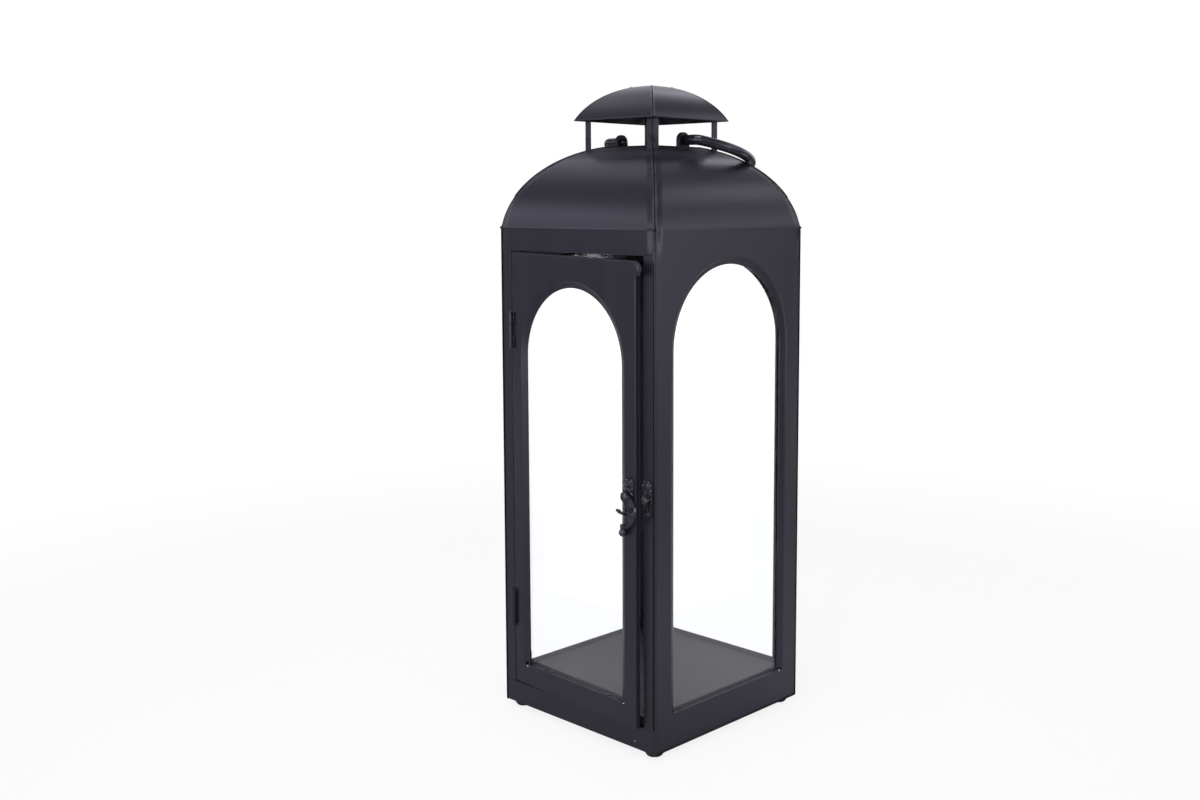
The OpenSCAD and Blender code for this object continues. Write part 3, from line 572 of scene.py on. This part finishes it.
def white_floor():
    """White to the eye. In the coat it shows grey, a painted shade that is darker in front and far off,
    except for a painted pool of light beside the lantern: a ring that glows white only in reflections.
    """
    WHITE, GREY = (0.9, 0.9, 0.9), (0.2, 0.2, 0.2)
    GLOW_RING = (0.24, 0), (0.29, 1), (0.48, 1), (0.58, 0)     # a quarter of the distance, and whiteness
    floor = Finish("white_floor")
    away = floor.add("ShaderNodeVectorMath", {"operation": "LENGTH"}, {0: floor.place}, out="Value")
    through = seen_rays(floor, "Is Transmission Ray")
    glossy = seen_rays(floor, "Is Glossy Ray") - through
    beside = (backdrop_share(floor, floor.place, 0.16, 0.25)
              * (1.0 - backdrop_share(floor, floor.place, 0.40, 0.50)))
    # A painted pool of light: a ring beside the lantern, on the backdrop side, that glows white in
    # reflections.
    painted_glow_ring = floor.ramp(away * 0.25, *GLOW_RING) * beside
    seen = seen_rays(floor, "Is Camera Ray", "Is Transmission Ray").maths("MAXIMUM", glossy * painted_glow_ring)
    # The plain floor's colour is a painted shade: grey far off and, for reflections, grey in front.
    far = slope(floor, away, 0.3, 1.3)
    aside = slope(floor, coordinate(floor, "Y"), -0.1, 0.2, 0.7, 0.25)
    plain = floor.add("ShaderNodeBsdfDiffuse", {}, {
        "Color": floor.mix(far.maths("MAXIMUM", glossy * aside), WHITE, GREY)})
    white = floor.add("ShaderNodeEmission", {}, {
        "Color": (1, 1, 1, 1), "Strength": through * THROUGH_GLASS + glossy + 1.0})
    floor.output(floor.add("ShaderNodeMixShader", {}, {0: seen * (far * 0.15 + 0.85), 1: plain, 2: white}))
    return floor.material


FLOOR_HALF = 6.0
bm = bmesh.new()
bmesh.ops.create_grid(bm, x_segments=1, y_segments=1, size=FLOOR_HALF)
mesh = bpy.data.meshes.new("floor")
bm.to_mesh(mesh)
bm.free()
mesh.materials.append(white_floor())
floor = bpy.data.objects.new("floor", mesh)
scene.collection.objects.link(floor)


LAMP_AIM = Vector((0, 0, 0.4))


def softbox(name, towards, distance, size, watts):
    """A soft light in a direction from the windows' upper half, facing it; sizes in metres."""
    light = bpy.data.lights.new(name, "AREA")
    light.color = COOL
    light.shape, light.energy = "RECTANGLE", watts
    light.size, light.size_y = size
    lamp = bpy.data.objects.new(name, light)
    lamp.location = LAMP_AIM + Vector(towards).normalized() * distance
    lamp.rotation_euler = (-Vector(towards)).to_track_quat("-Z", "Y").to_euler()
    lamp.visible_camera = False
    scene.collection.objects.link(lamp)


softbox("upper_left", (-0.68, 0.0, 0.74), 2.0, (0.8, 0.35), 0.7)
softbox("left", (-0.68, -0.62, 0.40), 2.0, (1.0, 0.35), 1.1)
softbox("back_right", (-0.28, 0.73, 0.62), 2.0, (0.5, 0.25), 0.8)
softbox("spark", (0.10, -0.10, 1.0), 2.0, (0.2, 0.2), 3.8)
softbox("front_spark", (0.45, -0.75, 0.45), 2.4, (0.2, 0.2), 3.8)
softbox("camera_side", (0.72, -0.69, 0.02), 2.4, (0.5, 1.4), 9.0)
softbox("upper_right", (0.38, 0.73, 0.58), 2.0, (0.8, 0.4), 1.4)
softbox("right", (0.88, 0.465, 0.03), 2.2, (1.6, 1.0), 4.0)
softbox("overhead", (0.15, -0.35, 1.0), 2.3, (1.6, 1.6), 25)
softbox("left_strip", (-0.39, -0.92, -0.03), 2.2, (0.25, 1.2), 4.5)
softbox("right_strip", (0.89, 0.45, -0.03), 2.2, (0.25, 1.2), 4.5)
softbox("front", (0.10, -0.99, 0.12), 2.2, (1.6, 1.2), 14)

world = bpy.data.worlds.new("studio")
world.use_nodes = True
scene.world = world
sky = Tree(world.node_tree)
direction = sky.add("ShaderNodeTexCoord", out="Generated")
height = sky.add("ShaderNodeSeparateXYZ", {}, {"Vector": direction}, out="Z")
band = sky.ramp(height, *HORIZON_BAND)
behind = backdrop_share(sky, direction, 0.58, 0.75)
seen = seen_rays(sky, "Is Camera Ray", "Is Transmission Ray")
white = seen_rays(sky, "Is Transmission Ray") * THROUGH_GLASS + seen
sky.end("ShaderNodeOutputWorld", sky.add("ShaderNodeBackground", {}, {
    "Color": sky.mix(seen, COOL, (1, 1, 1)),
    "Strength": band.maths("MAXIMUM", behind).maths("MAXIMUM", white)}))

scene.view_settings.view_transform = "Standard"
